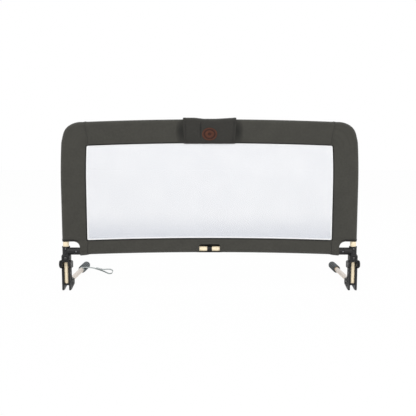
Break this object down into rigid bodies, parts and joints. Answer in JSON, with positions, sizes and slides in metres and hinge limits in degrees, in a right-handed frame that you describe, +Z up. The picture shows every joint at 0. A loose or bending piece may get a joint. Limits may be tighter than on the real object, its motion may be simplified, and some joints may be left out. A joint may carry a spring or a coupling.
{
  "type": "folding bed guard rail",
  "caption": "Fold-down bed guard: fabric-covered tube frame with a mesh window, hinged on two floor brackets with arms that slide under the mattress.",
  "frame": {"origin": "on the floor, under the middle of the whole rail's footprint", "axes": "+X along the bed, +Y away from the viewer towards the mattress, +Z up"},
  "size_m": [1.22, 0.4432, 0.6976],
  "materials": {
    "cream_enamel": "satin",
    "black_moulding": "fine texture",
    "button_plastic": "satin",
    "zinc_steel": "zinc plated",
    "blackened_steel": "black oxide",
    "grey_foam": "matte foam",
    "grey_cloth": "woven",
    "white_mesh": "fine net",
    "white_edging": "ribbed tape",
    "pale_webbing": "woven webbing",
    "brown_leather": "embossed"
  },
  "bodies": {
    "guard": {"side_tube_left": "cream_enamel", "side_tube_right": "cream_enamel", "lower_rail_tube_left": "cream_enamel", "lower_rail_tube_right": "cream_enamel", "top_rail_connector": "black_moulding", "lower_rail_connector": "black_moulding", "corner_block_left": "black_moulding", "corner_block_right": "black_moulding", "collar_screw_left": "blackened_steel", "collar_screw_right": "blackened_steel", "branch_screw_left": "blackened_steel", "branch_screw_right": "blackened_steel", "button_spring_left": "zinc_steel", "button_spring_right": "zinc_steel", "cover_top_band": "grey_cloth", "cover_bottom_band": "grey_cloth", "cover_side_band_left": "grey_cloth", "cover_side_band_right": "grey_cloth", "window_edging": "white_edging", "mesh_panel": "white_mesh", "rail_joint_flap": "grey_cloth", "leather_patch": "brown_leather"},
    "leg_left": {"bracket_left": "black_moulding", "hinge_pin_inner_left": "zinc_steel", "hinge_pin_outer_left": "zinc_steel", "upright_rivet_left": "zinc_steel", "arm_rivet_left": "zinc_steel", "upright_tube_left": "cream_enamel", "upright_tube_cap_left": "cream_enamel", "arm_tube_left": "cream_enamel", "arm_grip_left": "grey_foam", "arm_end_plug_left": "black_moulding", "strap_band": "pale_webbing", "strap_tail": "pale_webbing"},
    "leg_right": {"bracket_right": "black_moulding", "hinge_pin_inner_right": "zinc_steel", "hinge_pin_outer_right": "zinc_steel", "upright_rivet_right": "zinc_steel", "arm_rivet_right": "zinc_steel", "upright_tube_right": "cream_enamel", "upright_tube_cap_right": "cream_enamel", "arm_tube_right": "cream_enamel", "arm_grip_right": "grey_foam", "arm_end_plug_right": "black_moulding"},
    "button_left": {"release_button_left": "button_plastic"},
    "button_right": {"release_button_right": "button_plastic"}
  },
  "joints": [
    {"name": "fold_left", "type": "hinge", "parent": "guard", "child": "leg_left", "pos_m": [-0.586, -0.20774, 0.112], "axis": [-1, 0, 0], "range_deg": [0, 180]},
    {"name": "fold_right", "type": "hinge", "parent": "guard", "child": "leg_right", "pos_m": [0.586, -0.20774, 0.112], "axis": [-1, 0, 0], "range_deg": [0, 180]},
    {"name": "press_left", "type": "slide", "parent": "guard", "child": "button_left", "axis": [0, 1, 0], "range_m": [0, 0.0035], "stiffness_N_per_m": 900, "springref_m": -0.002, "deforming": ["button_spring_left"]},
    {"name": "press_right", "type": "slide", "parent": "guard", "child": "button_right", "axis": [0, 1, 0], "range_m": [0, 0.0035], "stiffness_N_per_m": 900, "springref_m": -0.002, "deforming": ["button_spring_right"]}
  ]
}
